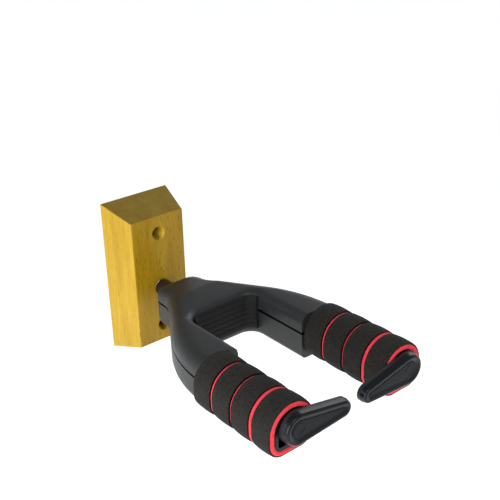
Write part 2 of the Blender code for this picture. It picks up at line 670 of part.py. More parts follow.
def make_throat_pad(yoke):
    """A rubber strip that lines the back of the neck gap and turns both its corners."""
    centre_x = THROAT_HALF_WIDTH - THROAT_CORNER
    centre_depth = THROAT_REAR + THROAT_CORNER
    outer = arc(centre_x, centre_depth, THROAT_CORNER - GAP, -10, -90, 6)
    inner = arc(centre_x, centre_depth, THROAT_CORNER - GAP - PAD_THICKNESS, -90, -10, 6)
    loop = outer + [(-x, depth) for x, depth in reversed(outer)]
    loop += [(-x, depth) for x, depth in reversed(inner)] + inner
    form = prism([[(x, -depth) for x, depth in loop]], *PAD_Z)
    part("throat_pad", to_mesh(form), RUBBER, yoke)


def make_beam(arm, name):
    """A D-shaped beam with a round spigot that the two shells clamp. The gate's bore is high."""
    rise = GATE_HEIGHT - ARM_HEIGHT
    form = prism([d_outline(BEAM_RADIUS, BEAM_CORNER)], BEAM_START, BEAM_END)
    beam = part(f"arm_beam_{name}", to_mesh(form), BLACK_PLASTIC, arm, rotation=OUTWARD)
    spigot = guide(f"spigot_{name}", rod(SPIGOT_RADIUS, SPIGOT_START, BEAM_START + MM), arm,
                   (0, 0, rise), OUTWARD)
    combine(beam, spigot, "UNION")
    outline = d_outline(BEAM_RADIUS - BEAM_RIM, BEAM_CORNER)
    hub = arc(0, rise, BEAM_HUB, 0, 345, 23)
    recess = prism([outline, hub], BEAM_END - BEAM_RECESS, BEAM_END + MM)
    combine(beam, guide(f"beam_recess_{name}", to_mesh(recess), arm, rotation=OUTWARD),
            "DIFFERENCE")
    bore = guide(f"beam_bore_{name}", rod(BEAM_BORE, SPIGOT_START - MM, BEAM_END + MM), arm,
                 (0, 0, rise), OUTWARD)
    combine(beam, bore, "DIFFERENCE")


def make_foam(arm, name):
    red = [d_outline(RED_RADIUS, RED_CORNER), d_outline(BEAM_RADIUS + GAP, BEAM_CORNER + GAP)]
    part(f"foam_inner_{name}", to_mesh(prism(red, BEAM_START, FOAM_END)), RED_FOAM, arm,
         rotation=OUTWARD)
    pitch = (FOAM_END - BEAM_START + BAND_CUT) / BAND_COUNT
    black = [d_outline(BLACK_RADIUS, RED_CORNER + BLACK_RADIUS - RED_RADIUS),
             d_outline(RED_RADIUS + GAP, RED_CORNER + GAP)]
    for index in range(BAND_COUNT):
        start = BEAM_START + index * pitch
        band = to_mesh(prism(black, start, start + pitch - BAND_CUT))
        part(f"foam_band_{name}_{index + 1}", band, BLACK_FOAM, arm, rotation=OUTWARD)


def bush(name, gate, flange_start, flange_end, sleeve_end):
    """A flanged bush in the beam's bore. The sleeve reaches from the flange to sleeve_end."""
    bore, sleeve = SHAFT_RADIUS + GAP, BEAM_BORE - GAP
    if sleeve_end > flange_end:
        profile = [(sleeve, sleeve_end), (sleeve, flange_end), (BUSH_FLANGE, flange_end),
                   (BUSH_FLANGE, flange_start), (bore, flange_start), (bore, sleeve_end)]
    else:
        profile = [(BUSH_FLANGE, flange_end), (BUSH_FLANGE, flange_start),
                   (sleeve, flange_start), (sleeve, sleeve_end), (bore, sleeve_end),
                   (bore, flange_end)]
    part(name, turned(profile), NYLON, gate, rotation=OUTWARD)


def make_bushes(gate, name):
    rear_end = SPIGOT_START - GAP
    bush(f"rear_bush_{name}", gate, rear_end - BUSH_FLANGE_THICKNESS, rear_end,
         SPIGOT_START + BUSH_LENGTH)
    front = BEAM_END + GAP
    bush(f"front_bush_{name}", gate, front, front + BUSH_FLANGE_THICKNESS,
         BEAM_END - BUSH_LENGTH)


# ---------------------------------------------------------------- gates

def make_crank(gate, name, side):
    """A drum on the shaft's rear end with a pin off its centre, outward and up."""
    crank = part(f"gate_crank_{name}", rod(CRANK_RADIUS, *CRANK_DEPTH), CAST_METAL, gate,
                 rotation=OUTWARD)
    blind = guide(f"crank_bore_{name}",
                  rod(SHAFT_RADIUS + GAP, CRANK_DEPTH[0] + CRANK_WEB, CRANK_DEPTH[1] + MM),
                  gate, rotation=OUTWARD)
    combine(crank, blind, "DIFFERENCE")
    offset = CRANK_ARM * math.sin(math.radians(45))
    pin = guide(f"crank_pin_{name}",
                rod(CRANK_PIN_RADIUS, CRANK_PIN_START, CRANK_DEPTH[0] + CRANK_WEB / 2, 20),
                gate, (side * offset, 0, offset), OUTWARD)
    combine(crank, pin, "UNION")


def make_paddle(gate, name, turn):
    """The teardrop gate: back plate, paddle and front panel. It is drawn pointing to +X."""
    rotation = (math.pi / 2, turn, 0)
    back, front = PADDLE_DEPTH

    def plate(margin, low, high):
        shape = teardrop(PADDLE_ROOT - margin, PADDLE_TIP - margin, PADDLE_LENGTH)
        return prism([shape], low, high)

    def cut(target, tool_name, mesh, turned_with=OUTWARD):
        tool = guide(f"{tool_name}_{name}", mesh, gate, rotation=turned_with)
        combine(target, tool, "DIFFERENCE")

    rear = round_rim(plate(0.4 * MM, *BACK_DEPTH), BACK_DEPTH[0], 0.6 * MM, 2)
    rear = part(f"gate_back_{name}", to_mesh(rear), SATIN_PLASTIC, gate, rotation=rotation)
    start, screw_hole = BACK_DEPTH[0] - MM, GATE_SCREW_RADIUS + GAP
    cut(rear, "flange_step", rod(BUSH_FLANGE + GAP, start, BACK_DEPTH[0] + BACK_STEP))
    cut(rear, "shaft_seat", rod(SHAFT_RADIUS + GAP, start, SHAFT_END + GAP))
    cut(rear, "back_screw_hole", rod(screw_hole, start, front))

    form = round_rim(plate(0.0, back, front), front, PADDLE_ROUNDING, 3)
    form = round_rim(form, back, 0.4 * MM, 1)
    paddle = part(f"gate_paddle_{name}", to_mesh(form), BLACK_PLASTIC, gate, rotation=rotation)
    floor = front - CAP_THICKNESS - GAP
    cut(paddle, "cap_seat", to_mesh(plate(CAP_MARGIN, floor, front + MM)), rotation)
    cut(paddle, "screw_seat", rod(GATE_SCREW_HEAD + GAP, GATE_SCREW_SEAT, front))
    cut(paddle, "screw_hole", rod(screw_hole, back - MM, front))

    cap = to_mesh(plate(CAP_MARGIN + GAP, floor + GAP, front))
    part(f"gate_cap_{name}", cap, SATIN_PLASTIC, gate, rotation=rotation)
    make_screw(f"gate_screw_{name}", gate, (GATE_SCREW_HEAD, GATE_SCREW_HEIGHT),
               (GATE_SCREW_RADIUS, GATE_SCREW_LENGTH), (0, -GATE_SCREW_SEAT - GAP, 0), OUTWARD)


def make_shaft(gate, name):
    shaft = part(f"gate_shaft_{name}", rod(SHAFT_RADIUS, SHAFT_START, SHAFT_END), STEEL, gate,
                 rotation=OUTWARD)
    tapped = guide(f"shaft_thread_{name}",
                   rod(GATE_SCREW_RADIUS + GAP, SHAFT_END - SHAFT_THREAD_LENGTH, SHAFT_END + MM, 20),
                   gate, rotation=OUTWARD)
    combine(shaft, tapped, "DIFFERENCE")


def make_gate(yoke, name, side):
    gate = empty(f"gate_axis_{name}", (side * ARM_X, 0, GATE_HEIGHT), yoke)
    make_bushes(gate, name)
    make_shaft(gate, name)
    make_crank(gate, name, side)
    droop = math.radians(GATE_DROOP)
    make_paddle(gate, name, droop if side < 0 else math.pi - droop)


def main():
    wall = empty("wall_frame", (0, 0, 0))
    swivel = empty("swivel_axis", (0, 0, SWIVEL_HEIGHT), wall)
    yoke = empty("yoke_frame", (0, 0, -SWIVEL_HEIGHT), swivel)
    make_block(wall)
    make_swivel_stack(wall, swivel)
    make_hub(swivel)
    make_fork(swivel)
    make_fork_screws(swivel)
    make_springs(swivel)
    make_shells(yoke)
    make_shell_fittings(yoke)
    make_throat_pad(yoke)
    for name, side in SIDES:
        arm = empty(f"arm_axis_{name}", (side * ARM_X, 0, ARM_HEIGHT), yoke)
        make_beam(arm, name)
        make_foam(arm, name)
        make_gate(yoke, name, side)


clear_scene()
PARTS = new_collection("wall_guitar_hanger")
CUTTERS = new_collection("cutters")
main()
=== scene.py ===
"""Looks for the wall guitar hanger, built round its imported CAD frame.

Lengths are in metres, in the frame's own axes: +X to the right for someone who faces the
wall, +Y into the wall, +Z up. A "depth" is a distance out from the wall, along -Y. Colours
are linear RGB. A "share" goes from 0 to 1.
"""
import json
import math

import bpy
from mathutils import Euler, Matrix, Quaternion, Vector, noise


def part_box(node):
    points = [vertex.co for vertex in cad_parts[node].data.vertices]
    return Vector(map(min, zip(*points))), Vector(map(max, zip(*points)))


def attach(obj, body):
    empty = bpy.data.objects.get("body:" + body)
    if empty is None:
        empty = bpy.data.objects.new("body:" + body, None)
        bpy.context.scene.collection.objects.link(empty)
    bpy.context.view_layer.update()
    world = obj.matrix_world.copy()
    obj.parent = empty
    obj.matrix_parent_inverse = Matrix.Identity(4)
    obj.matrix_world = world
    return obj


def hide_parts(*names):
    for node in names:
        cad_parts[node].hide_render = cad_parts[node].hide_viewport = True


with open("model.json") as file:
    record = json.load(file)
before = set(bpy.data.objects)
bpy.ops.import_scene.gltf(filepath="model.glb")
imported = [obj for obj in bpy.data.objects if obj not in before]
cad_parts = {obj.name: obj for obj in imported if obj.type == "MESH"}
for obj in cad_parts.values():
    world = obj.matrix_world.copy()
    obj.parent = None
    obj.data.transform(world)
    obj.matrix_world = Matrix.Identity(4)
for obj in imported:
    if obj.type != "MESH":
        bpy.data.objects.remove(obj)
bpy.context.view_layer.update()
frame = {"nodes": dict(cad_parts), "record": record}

MM = 0.001
SIDES = {"left": -1.0, "right": 1.0}        # the sign of X on each side
WHITE = (1.0, 1.0, 1.0)
BLACK = (0.001, 0.001, 0.001)


# ---------------------------------------------------------------- node helpers

class Look:
    """A material whose nodes are made and joined by short calls."""

    EDGE_COSINES = (0.99, 0.80)             # from a face as good as flat to a sharp edge
    FACING = (0.60, 0.95)                   # how squarely a face looks along an axis

    def __init__(self, name, roughness=0.5, metallic=0.0, coat=0.0, coat_roughness=0.1,
                 sheen=0.0, specular=0.5):
        self.made = bpy.data.materials.new(name)
        self.made.use_nodes = True
        self.tree = self.made.node_tree
        self.shader = self.tree.nodes["Principled BSDF"]
        self.fix({"Roughness": roughness, "Metallic": metallic, "Coat Weight": coat,
                  "Coat Roughness": coat_roughness, "Sheen Weight": sheen,
                  "Specular IOR Level": specular})
        self.place = self.node("TexCoord").outputs["Object"]

    def fix(self, values):
        """Sets the shader's own sockets to values that hold all over the surface."""
        for key, value in values.items():
            self.shader.inputs[key].default_value = value

    def drive(self, **sockets):
        """Joins sockets to the shader's inputs, and returns the material."""
        for key, value in sockets.items():
            self.tree.links.new(value, self.shader.inputs[key.replace("_", " ")])
        return self.made

    def feed(self, socket, value):
        """Gives a socket a link, a number or a colour."""
        if isinstance(value, bpy.types.NodeSocket):
            self.tree.links.new(value, socket)
        elif socket.type == "RGBA":
            socket.default_value = (*value, 1.0)
        else:
            socket.default_value = value

    def node(self, kind, inputs=(), **settings):
        made = self.tree.nodes.new("ShaderNode" + kind)
        for key, value in settings.items():
            setattr(made, key, value)
        for key, value in dict(inputs).items():
            self.feed(made.inputs[key], value)
        return made

    def stretched(self, across, along):
        """Object coordinates in which one unit is `across` wide and `along` high, in metres."""
        scale = (1.0 / across, 1.0 / across, 1.0 / along)
        return self.node("Mapping", {"Vector": self.place, "Scale": scale}).outputs["Vector"]

    def noise(self, size, detail=3.0, rough=0.5, along=None):
        vector = self.stretched(size, along or size)
        return self.node("TexNoise", {"Vector": vector, "Scale": 1.0, "Detail": detail,
                                      "Roughness": rough}).outputs["Fac"]

    def cells(self, size):
        vector = self.stretched(size, size)
        return self.node("TexVoronoi", {"Vector": vector, "Scale": 1.0}).outputs["Distance"]

    def ramp(self, value, *stops):
        """Stops are (position, brightness) or (position, colour)."""
        made = self.node("ValToRGB", {"Fac": value})
        elements = made.color_ramp.elements
        while len(elements) < len(stops):
            elements.new(0.5)
        for element, (position, colour) in zip(elements, stops):
            element.position = position
            if isinstance(colour, (int, float)):
                colour = (colour,) * 3
            element.color = (*colour, 1.0)
        return made.outputs["Color"]

    def remap(self, value, start, end, low=0.0, high=1.0):
        """Maps start..end to low..high, and holds the ends."""
        return self.node("MapRange", {"Value": value, "From Min": start, "From Max": end,
                                      "To Min": low, "To Max": high}).outputs["Result"]

    def spread(self, value, low, high):
        return self.remap(value, 0.0, 1.0, low, high)

    def mix(self, share, first, second, blend="MIX"):
        made = self.node("Mix", data_type="RGBA", blend_type=blend)
        for index, value in ((0, share), (6, first), (7, second)):
            self.feed(made.inputs[index], value)
        return made.outputs[2]

    def math(self, operation, first, second=0.0):
        return self.node("Math", {0: first, 1: second}, operation=operation).outputs[0]

    def total(self, values):
        result = values[0]
        for value in values[1:]:
            result = self.math("ADD", result, value)
        return result

    def bump(self, *layers):
        """Each layer is (height socket, depth in metres). They add up in one bump."""
        height = self.total([self.math("MULTIPLY", layer, depth) for layer, depth in layers])
        made = self.node("Bump", {"Height": height, "Strength": 1.0, "Distance": 1.0})
        self.drive(Normal=made.outputs["Normal"])

    def edge(self, radius):
        """1 along sharp edges and 0 on open faces."""
        rounded = self.node("Bevel", {"Radius": radius}, samples=6).outputs["Normal"]
        plain = self.node("NewGeometry").outputs["Normal"]
        dot = self.node("VectorMath", {0: rounded, 1: plain}, operation="DOT_PRODUCT")
        return self.remap(dot.outputs["Value"], *self.EDGE_COSINES)

    def facing(self, axis):
        """0 to 1 as a surface turns to face along an axis of the object, either way."""
        normal = self.node("TexCoord").outputs["Normal"]
        share = self.node("SeparateXYZ", {"Vector": normal}).outputs[axis]
        return self.remap(self.math("ABSOLUTE", share), *self.FACING)

    def near(self, axis, middle, inner, outer, most=1.0):
        """`most` within `inner` of a plane across an axis, fading to 0 at `outer`."""
        along = self.node("SeparateXYZ", {"Vector": self.place}).outputs[axis]
        away = self.math("ABSOLUTE", self.math("SUBTRACT", along, middle))
        return self.remap(away, inner, outer, most, 0.0)

    def shaded(self, share, tone):
        """Deep shade in a groove: a black metal, because it reflects nothing."""
        self.drive(Metallic=share)
        return self.mix(share, tone, BLACK)


def tinted(colour, gain, lift=0.0):
    return tuple(min(1.0, gain * c + lift) for c in colour)


# ---------------------------------------------------------------- seams and cuts

SEAM_HALF_GAP = 0.15 * MM
SEAM_SHADE = (0.65 * MM, 0.90 * MM)         # full within the first distance, gone at the second
CUT_WIDTHS = (0.95 * MM, 0.65 * MM, 1.75 * MM)
CUT_SHADE = (0.30 * MM, 0.85 * MM)          # the same, from the edge of a cut in the foam
CUT_SHADE_MOST = 0.9
BANDS = 4                                   # foam bands on each arm, with a cut between each two


def band_boxes(name):
    return [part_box(f"foam_band_{name}_{i + 1}") for i in range(BANDS)]


def cut_depths(name):
    """How far from the wall the middle of each cut between two foam bands lies."""
    boxes = band_boxes(name)
    return [-(rear[0].y + front[1].y) / 2 for rear, front in zip(boxes, boxes[1:])]


# ---------------------------------------------------------------- materials

def wood():
    """Lacquered golden wood: soft grain up the block and short dark flecks. The faces that look
    along Y, front and back, are darkened as painted shade, and the end grain on top and bottom
    is darker, both as end grain and as painted shade."""
    deep, gold, pale = (0.44, 0.265, 0.012), (0.51, 0.325, 0.019), (0.56, 0.375, 0.030)
    streak, pore, worn = (0.34, 0.175, 0.006), (0.13, 0.045, 0.006), (0.58, 0.40, 0.08)
    front_painted_shade, end_grain_and_painted_shade = (0.70, 0.66, 0.34), (0.50, 0.52, 0.85)

    look = Look("lacquered_wood", coat=0.12, coat_roughness=0.2, specular=0.18)
    grain = look.noise(7 * MM, 3.0, 0.55, along=60 * MM)
    fibre = look.noise(0.9 * MM, 4.0, 0.6, along=16 * MM)
    pores = look.ramp(look.noise(0.95 * MM, 1.0, 0.4, along=4.0 * MM), (0.66, 0.0), (0.71, 1.0))
    pore_share = look.spread(look.facing(1), 0.25, 0.85)
    rubbed = look.spread(look.noise(9 * MM), 0.1, 0.6)

    tone = look.ramp(grain, (0.3, deep), (0.5, gold), (0.7, pale))
    tone = look.mix(look.ramp(fibre, (0.35, 0.0), (0.75, 0.55)), tone, streak)
    tone = look.mix(look.math("MULTIPLY", pores, pore_share), tone, pore)
    # painted shade: the faces that look along Y, front and back, are darkened in colour
    tone = look.mix(look.facing(1), tone, front_painted_shade, "MULTIPLY")
    # end grain on top and bottom: darker as end grain, and as painted shade as well
    tone = look.mix(look.facing(2), tone, end_grain_and_painted_shade, "MULTIPLY")
    tone = look.mix(look.math("MULTIPLY", look.edge(1.0 * MM), rubbed), tone, worn)
    look.bump((fibre, 0.05 * MM), (pores, -0.05 * MM), (look.noise(30 * MM), 0.3 * MM))
    gloss = look.spread(look.noise(12 * MM, 4.0), 0.28, 0.48)
    return look.drive(Base_Color=tone, Roughness=gloss)


def moulded(name, colour, roughness, grain, depth, coat=0.0, specular=0.32, seam=None):
    """Injection-moulded plastic: spark texture, faint flow marks and rubbed edges.

    roughness is (least, most), grain and depth are the texture's, and shade darkens the
    plastic at the height of a seam.
    """
    look = Look(name, coat=coat, coat_roughness=0.2, specular=specular)
    flow = look.noise(14 * MM, 3.0)
    spark = look.noise(grain, 2.0, 0.6)
    rubbed = look.math("MULTIPLY", look.edge(0.5 * MM), 0.35)
    smudge = look.math("MULTIPLY", look.noise(5 * MM, 5.0, 0.65), look.noise(25 * MM))

    tone = look.mix(look.spread(flow, 0.0, 0.5), colour, tinted(colour, 1.3, 0.003))
    tone = look.mix(rubbed, tone, tinted(colour, 2.0, 0.008))
    if seam is not None:
        tone = look.shaded(look.near(2, seam, *SEAM_SHADE), tone)
    look.bump((spark, depth), (flow, 0.02 * MM))
    return look.drive(Base_Color=tone, Roughness=look.spread(smudge, *roughness))


def foam(name, colour, pale, sheen, cuts=()):
    """Closed-cell foam with a skived skin: pits, soft mottling and no gloss.

    Each cut is (depth, half width). The foam is painted dark where it rounds into one: painted
    shade in the cut.
    """
    look = Look(name, roughness=0.95, sheen=sheen, specular=0.25)
    mottle = look.noise(1.6 * MM, 5.0, 0.75)
    pits = look.cells(0.5 * MM)
    dust = look.noise(0.3 * MM, 3.0, 0.65)

    tone = look.mix(look.ramp(mottle, (0.40, 0.0), (0.64, 1.0)), colour, pale)
    tone = look.mix(look.ramp(pits, (0.1, 0.45), (0.45, 0.0)), tone, tinted(colour, 0.55))
    tone = look.mix(look.ramp(dust, (0.6, 0.0), (0.85, 0.25)), tone, tinted(pale, 1.8, 0.01))
    # painted shade: the foam turns black near each cut
    if cuts:
        inner, outer = CUT_SHADE
        tone = look.shaded(look.total([look.near(1, -depth, half + inner, half + outer,
                                                 CUT_SHADE_MOST) for depth, half in cuts]), tone)
    look.bump((pits, 0.2 * MM), (dust, 0.09 * MM), (mottle, 0.06 * MM))
    return look.drive(Base_Color=tone)


def rubber():
    """Matt black rubber with a faint bloom."""
    look = Look("moulded_rubber", specular=0.2)
    bloom = look.noise(6 * MM, 4.0, 0.6)
    tone = look.mix(bloom, (0.006, 0.006, 0.0065), (0.014, 0.014, 0.0145))
    look.bump((look.noise(0.25 * MM, 2.0), 0.03 * MM))
    return look.drive(Base_Color=tone, Roughness=look.spread(bloom, 0.62, 0.88))


def nylon():
    """Natural nylon: cloudy, and light passes a little way into it."""
    look = Look("natural_nylon")
    look.fix({"Subsurface Weight": 0.15, "Subsurface Radius": (1.5 * MM, 1.2 * MM, 0.8 * MM)})
    cloud = look.noise(4 * MM, 3.0)
    tone = look.mix(cloud, (0.70, 0.67, 0.58), (0.82, 0.80, 0.74))
    look.bump((look.noise(0.3 * MM), 0.02 * MM))
    return look.drive(Base_Color=tone, Roughness=look.spread(cloud, 0.38, 0.55))


def metal(name, dark, light, roughness, mark_length, mark_width, depth):
    """Turned, plated or cast metal: a mottled finish with marks of the size given."""
    look = Look(name, metallic=1.0)
    mottle = look.noise(2.5 * MM, 4.0, 0.6)
    marks = look.noise(mark_width, 3.0, 0.6, along=mark_length)
    rubbed = look.math("MULTIPLY", look.edge(0.3 * MM), 0.5)
    tone = look.mix(rubbed, look.mix(mottle, dark, light), tinted(light, 1.25))
    look.bump((marks, depth))
    return look.drive(Base_Color=tone, Roughness=look.spread(mottle, *roughness))


LOOKS = {
    "wood": wood(),
    "satin_plastic": moulded("satin_plastic", (0.016, 0.0165, 0.018), (0.36, 0.60),
                             0.35 * MM, 0.035 * MM),
    "black_plastic": moulded("gloss_plastic", (0.0035, 0.005, 0.007), (0.24, 0.44),
                             0.5 * MM, 0.010 * MM, coat=0.08, specular=0.2),
    "nylon": nylon(),
    "rubber": rubber(),
    "black_foam": foam("black_foam", (0.010, 0.0095, 0.009), (0.023, 0.021, 0.019), 0.03,
                       [(depth, width / 2)
                        for depth, width in zip(cut_depths("left"), CUT_WIDTHS)]),
    "red_foam": foam("red_foam", (0.82, 0.036, 0.055), (0.93, 0.060, 0.085), 0.08),
    "steel": metal("black_oxide", (0.050, 0.050, 0.054), (0.11, 0.11, 0.12), (0.30, 0.48),
                   3.0 * MM, 0.2 * MM, 0.006 * MM),
    "cast_metal": metal("cast_metal", (0.24, 0.24, 0.25), (0.40, 0.40, 0.42), (0.45, 0.68),
                        0.6 * MM, 0.6 * MM, 0.06 * MM),
    "brass": metal("brass", (0.62, 0.42, 0.16), (0.80, 0.60, 0.28), (0.25, 0.45),
                   2.0 * MM, 0.2 * MM, 0.006 * MM),
}
SHELL = moulded("shell_plastic", (0.018, 0.019, 0.0205), (0.36, 0.60), 0.35 * MM, 0.035 * MM,
                seam=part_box("yoke_shell_lower")[1].z + SEAM_HALF_GAP)
PANEL = moulded("panel_plastic", (0.0025, 0.0045, 0.0065), (0.36, 0.54), 0.4 * MM, 0.018 * MM,
                specular=0.15)


# ---------------------------------------------------------------- the CAD nodes' own finish

CAD_SHARP_ANGLE = 35.0                      # degrees between faces; a sharper edge stays sharp
WELD_DISTANCE = 0.001 * MM
NORMAL_WEIGHT = 80                          # how far large faces outweigh small ones


def smoothing():
    """Nodes that join a CAD mesh's loose triangles and keep only its sharp edges sharp."""
    group = bpy.data.node_groups.new("smooth_by_angle", "GeometryNodeTree")
    for way in ("INPUT", "OUTPUT"):
        group.interface.new_socket("Geometry", in_out=way, socket_type="NodeSocketGeometry")
    start, joined, angle, over, normals, end = (group.nodes.new(kind) for kind in (
        "NodeGroupInput", "GeometryNodeMergeByDistance", "GeometryNodeInputMeshEdgeAngle",
        "FunctionNodeCompare", "GeometryNodeSetMeshNormal", "NodeGroupOutput"))
    joined.inputs["Distance"].default_value = WELD_DISTANCE
    over.inputs[1].default_value = math.radians(CAD_SHARP_ANGLE)
    for source, target in ((start.outputs[0], joined.inputs["Geometry"]),
                           (joined.outputs[0], normals.inputs["Mesh"]),
                           (angle.outputs["Unsigned Angle"], over.inputs[0]),
                           (over.outputs[0], normals.inputs["Edge Sharpness"]),
                           (normals.outputs[0], end.inputs[0])):
        group.links.new(source, target)
    return group


def finish_cad_nodes():
    """Gives every CAD node its slot's material, and smooth normals on its rounded faces."""
    group = smoothing()
    for row in frame["record"]["subparts"]:
        node = frame["nodes"][row["node"]]
        look = SHELL if row["node"].startswith("yoke_shell") else LOOKS[row["material_slot"]]
        node.data.materials.clear()
        node.data.materials.append(look)
        node.modifiers.new("smooth", "NODES").node_group = group
        weighted = node.modifiers.new("weighted", "WEIGHTED_NORMAL")
        weighted.keep_sharp = True
        weighted.weight = NORMAL_WEIGHT


# ---------------------------------------------------------------- mesh helpers

def place_object(name, data):
    made = bpy.data.objects.new(name, data)
    bpy.context.scene.collection.objects.link(made)
    return made


def add_piece(name, points, faces, look, body, sharp=40.0):
    """A visible piece. Edges over `sharp` degrees stay sharp."""
    mesh = bpy.data.meshes.new(name)
    mesh.from_pydata(points, [], faces)
    mesh.validate()
    mesh.shade_smooth()
    mesh.set_sharp_from_angle(angle=math.radians(sharp))
    mesh.materials.append(look)
    made = place_object(name, mesh)
    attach(made, body)
    return made


def skin(loops, closed=False):
    """Faces between loops of equal length. Unless closed, the first and last are capped."""
    count, size = len(loops), len(loops[0])
    points = [point for loop in loops for point in loop]
    faces = []
    for i in range(count if closed else count - 1):
        low, high = i * size, ((i + 1) % count) * size
        for j in range(size):
            k = (j + 1) % size
            faces.append((low + j, low + k, high + k, high + j))
    if not closed:
        faces.append(tuple(range(size - 1, -1, -1)))
        faces.append(tuple(range((count - 1) * size, count * size)))
    return points, faces


def arc(x, y, radius, start, end, steps):
    """Points along an arc, both ends included. Angles are in degrees."""
    angles = [math.radians(start + (end - start) * i / steps) for i in range(steps + 1)]
    return [(x + radius * math.cos(a), y + radius * math.sin(a)) for a in angles]


def evenly(outline, count):
    """The closed outline walked at equal steps."""
    pairs = list(zip(outline, outline[1:] + outline[:1]))
    lengths = [math.dist(a, b) for a, b in pairs]
    step = sum(lengths) / count
    points, walked, index = [], 0.0, 0
    for i in range(count):
        goal = i * step
        while walked + lengths[index] < goal:
            walked += lengths[index]
            index += 1
        (ax, ay), (bx, by) = pairs[index]
        share = (goal - walked) / lengths[index]
        points.append((ax + (bx - ax) * share, ay + (by - ay) * share))
    return points


# ---------------------------------------------------------------- foam sleeves

FLAT_DROP = 0.6 * MM                # as on the CAD sleeves: the flat underside lies this far in
RED_CORNER = 8.5 * MM               # the red sleeve's lower corners
SECTION_POINTS = 132
TOP_STEPS, CORNER_STEPS = 60, 24
LUMP_SIZES = (6 * MM, 1.7 * MM)     # broad and fine unevenness of the surface
FINE_LUMP_SHARE = 0.4
BAND_LUMP, RED_LUMP = 0.10 * MM, 0.05 * MM

BAND_CROWN = 0.34 * MM              # a band bulges this much between its ends
BAND_EASE = 1.3 * MM                # and rounds off over this length at each end
BAND_LIFT = 0.35 * MM               # the rounding starts this far above the red sleeve
BAND_SEAT = 0.25 * MM               # the band's bore lies this far under that
BAND_END_STEPS, BAND_STEPS, BAND_BORE_STEPS = 8, 14, 6
END_SETBACK = 0.6 * MM              # the last band stops this far short of the red sleeve

CUT_SWELLS = (0.45 * MM, 0.32 * MM, 0.80 * MM)  # the red sleeve's rise in each cut
SWELL_OVERLAP = 0.35 * MM           # how far a swell reaches under the bands
SWELL_LEAD = 0.5 * MM
SWELL_STEPS = 4
RED_NOSE = 0.9 * MM                 # length of the round front end
RED_BORE_CLEARANCE = 0.3 * MM


def red_sleeve(name):
    """The middle (x, z) and the radius of one arm's red sleeve."""
    low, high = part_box(f"foam_inner_{name}")
    radius = (high.x - low.x) / 2
    return (low.x + high.x) / 2, high.z - radius, radius


def sleeve_section(radius, red_radius):
    """Round top, straight sides, flat underside and rounded lower corners."""
    corner = RED_CORNER + radius - red_radius
    middle = radius - corner
    height = corner - (radius - FLAT_DROP)
    outline = (arc(0, 0, radius, 0, 180, TOP_STEPS)
               + arc(-middle, height, corner, 180, 270, CORNER_STEPS)
               + arc(middle, height, corner, 270, 360, CORNER_STEPS))
    return evenly(outline, SECTION_POINTS)


def unevenness(spot, lump):
    broad, fine = (noise.noise(spot / size) for size in LUMP_SIZES)
    return lump * broad + FINE_LUMP_SHARE * lump * fine


def sleeve(piece, name, profile, slot, replaced, lump):
    """A foam tube along one arm. The profile is a closed list of (depth, radius)."""
    centre_x, centre_z, red_radius = red_sleeve(name)
    loops = []
    for depth, radius in profile:
        loop = []
        for x, z in sleeve_section(radius, red_radius):
            share = 1.0 + unevenness(Vector((x, -depth, z)), lump) / radius
            loop.append((centre_x + x * share, -depth, centre_z + z * share))
        loops.append(loop)
    points, faces = skin(loops, closed=True)
    made = add_piece(piece, points, faces, LOOKS[slot], "yoke", sharp=70.0)
    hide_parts(replaced)


def band_profile(start, end, inner, outer):
    """A band's side view, from its rear inner edge over the outside and back inside."""
    turns = [math.pi / 2 * i / BAND_END_STEPS for i in range(BAND_END_STEPS + 1)]
    rear = [(start + BAND_EASE * (1 - math.cos(turn)), inner + (outer - inner) * math.sin(turn))
            for turn in turns]
    length = end - start - 2 * BAND_EASE
    middle = [(start + BAND_EASE + length * i / BAND_STEPS,
               outer + BAND_CROWN * math.sin(math.pi * i / BAND_STEPS) ** 0.7)
              for i in range(1, BAND_STEPS)]
    front = [(start + end - depth, radius) for depth, radius in reversed(rear)]
    bore = [(end - (end - start) * i / BAND_BORE_STEPS, inner - BAND_SEAT)
            for i in range(BAND_BORE_STEPS + 1)]
    return rear + middle + front + bore


def make_bands(name):
    """The black foam bands, from the yoke outward."""
    boxes = band_boxes(name)
    inner = red_sleeve(name)[2] + BAND_LIFT
    outer = (boxes[0][1].x - boxes[0][0].x) / 2
    cuts = list(zip(cut_depths(name), CUT_WIDTHS))
    starts = [-boxes[0][1].y] + [cut + width / 2 for cut, width in cuts]
    ends = [cut - width / 2 for cut, width in cuts] + [-boxes[-1][0].y - END_SETBACK]
    for i, (start, end) in enumerate(zip(starts, ends), 1):
        sleeve(f"foam_wrap_{name}_{i}", name, band_profile(start, end, inner, outer),
               "black_foam", f"foam_band_{name}_{i}", BAND_LUMP)


def make_red_sleeve(name):
    """The red layer: it swells a little into each cut and ends in a soft round ring."""
    low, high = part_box(f"foam_inner_{name}")
    start, end = -high.y, -low.y
    radius = red_sleeve(name)[2]
    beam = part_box(f"arm_beam_{name}")
    bore = (beam[1].x - beam[0].x) / 2 + RED_BORE_CLEARANCE
    turns = [math.pi / 2 * i / SWELL_STEPS for i in range(1 - SWELL_STEPS, SWELL_STEPS)]
    outside = [(start, radius)]
    for cut, width, swell in zip(cut_depths(name), CUT_WIDTHS, CUT_SWELLS):
        reach = width / 2 + SWELL_OVERLAP
        outside += [(cut - reach - SWELL_LEAD, radius), (cut - reach, radius)]
        outside += [(cut + reach * math.sin(turn), radius + swell * math.cos(turn) ** 0.6)
                    for turn in turns]
        outside += [(cut + reach, radius), (cut + reach + SWELL_LEAD, radius)]
    half = (radius - bore) / 2
    nose = [(end - RED_NOSE + RED_NOSE * math.sin(math.radians(a)),
             radius - half + half * math.cos(math.radians(a))) for a in range(0, 181, 15)]
    inside = [(end - 1.2 * MM, bore), (start + 1.0 * MM, bore), (start, bore)]
    sleeve(f"foam_core_{name}", name, outside + nose + inside, "red_foam",
           f"foam_inner_{name}", RED_LUMP)


# ---------------------------------------------------------------- throat pad

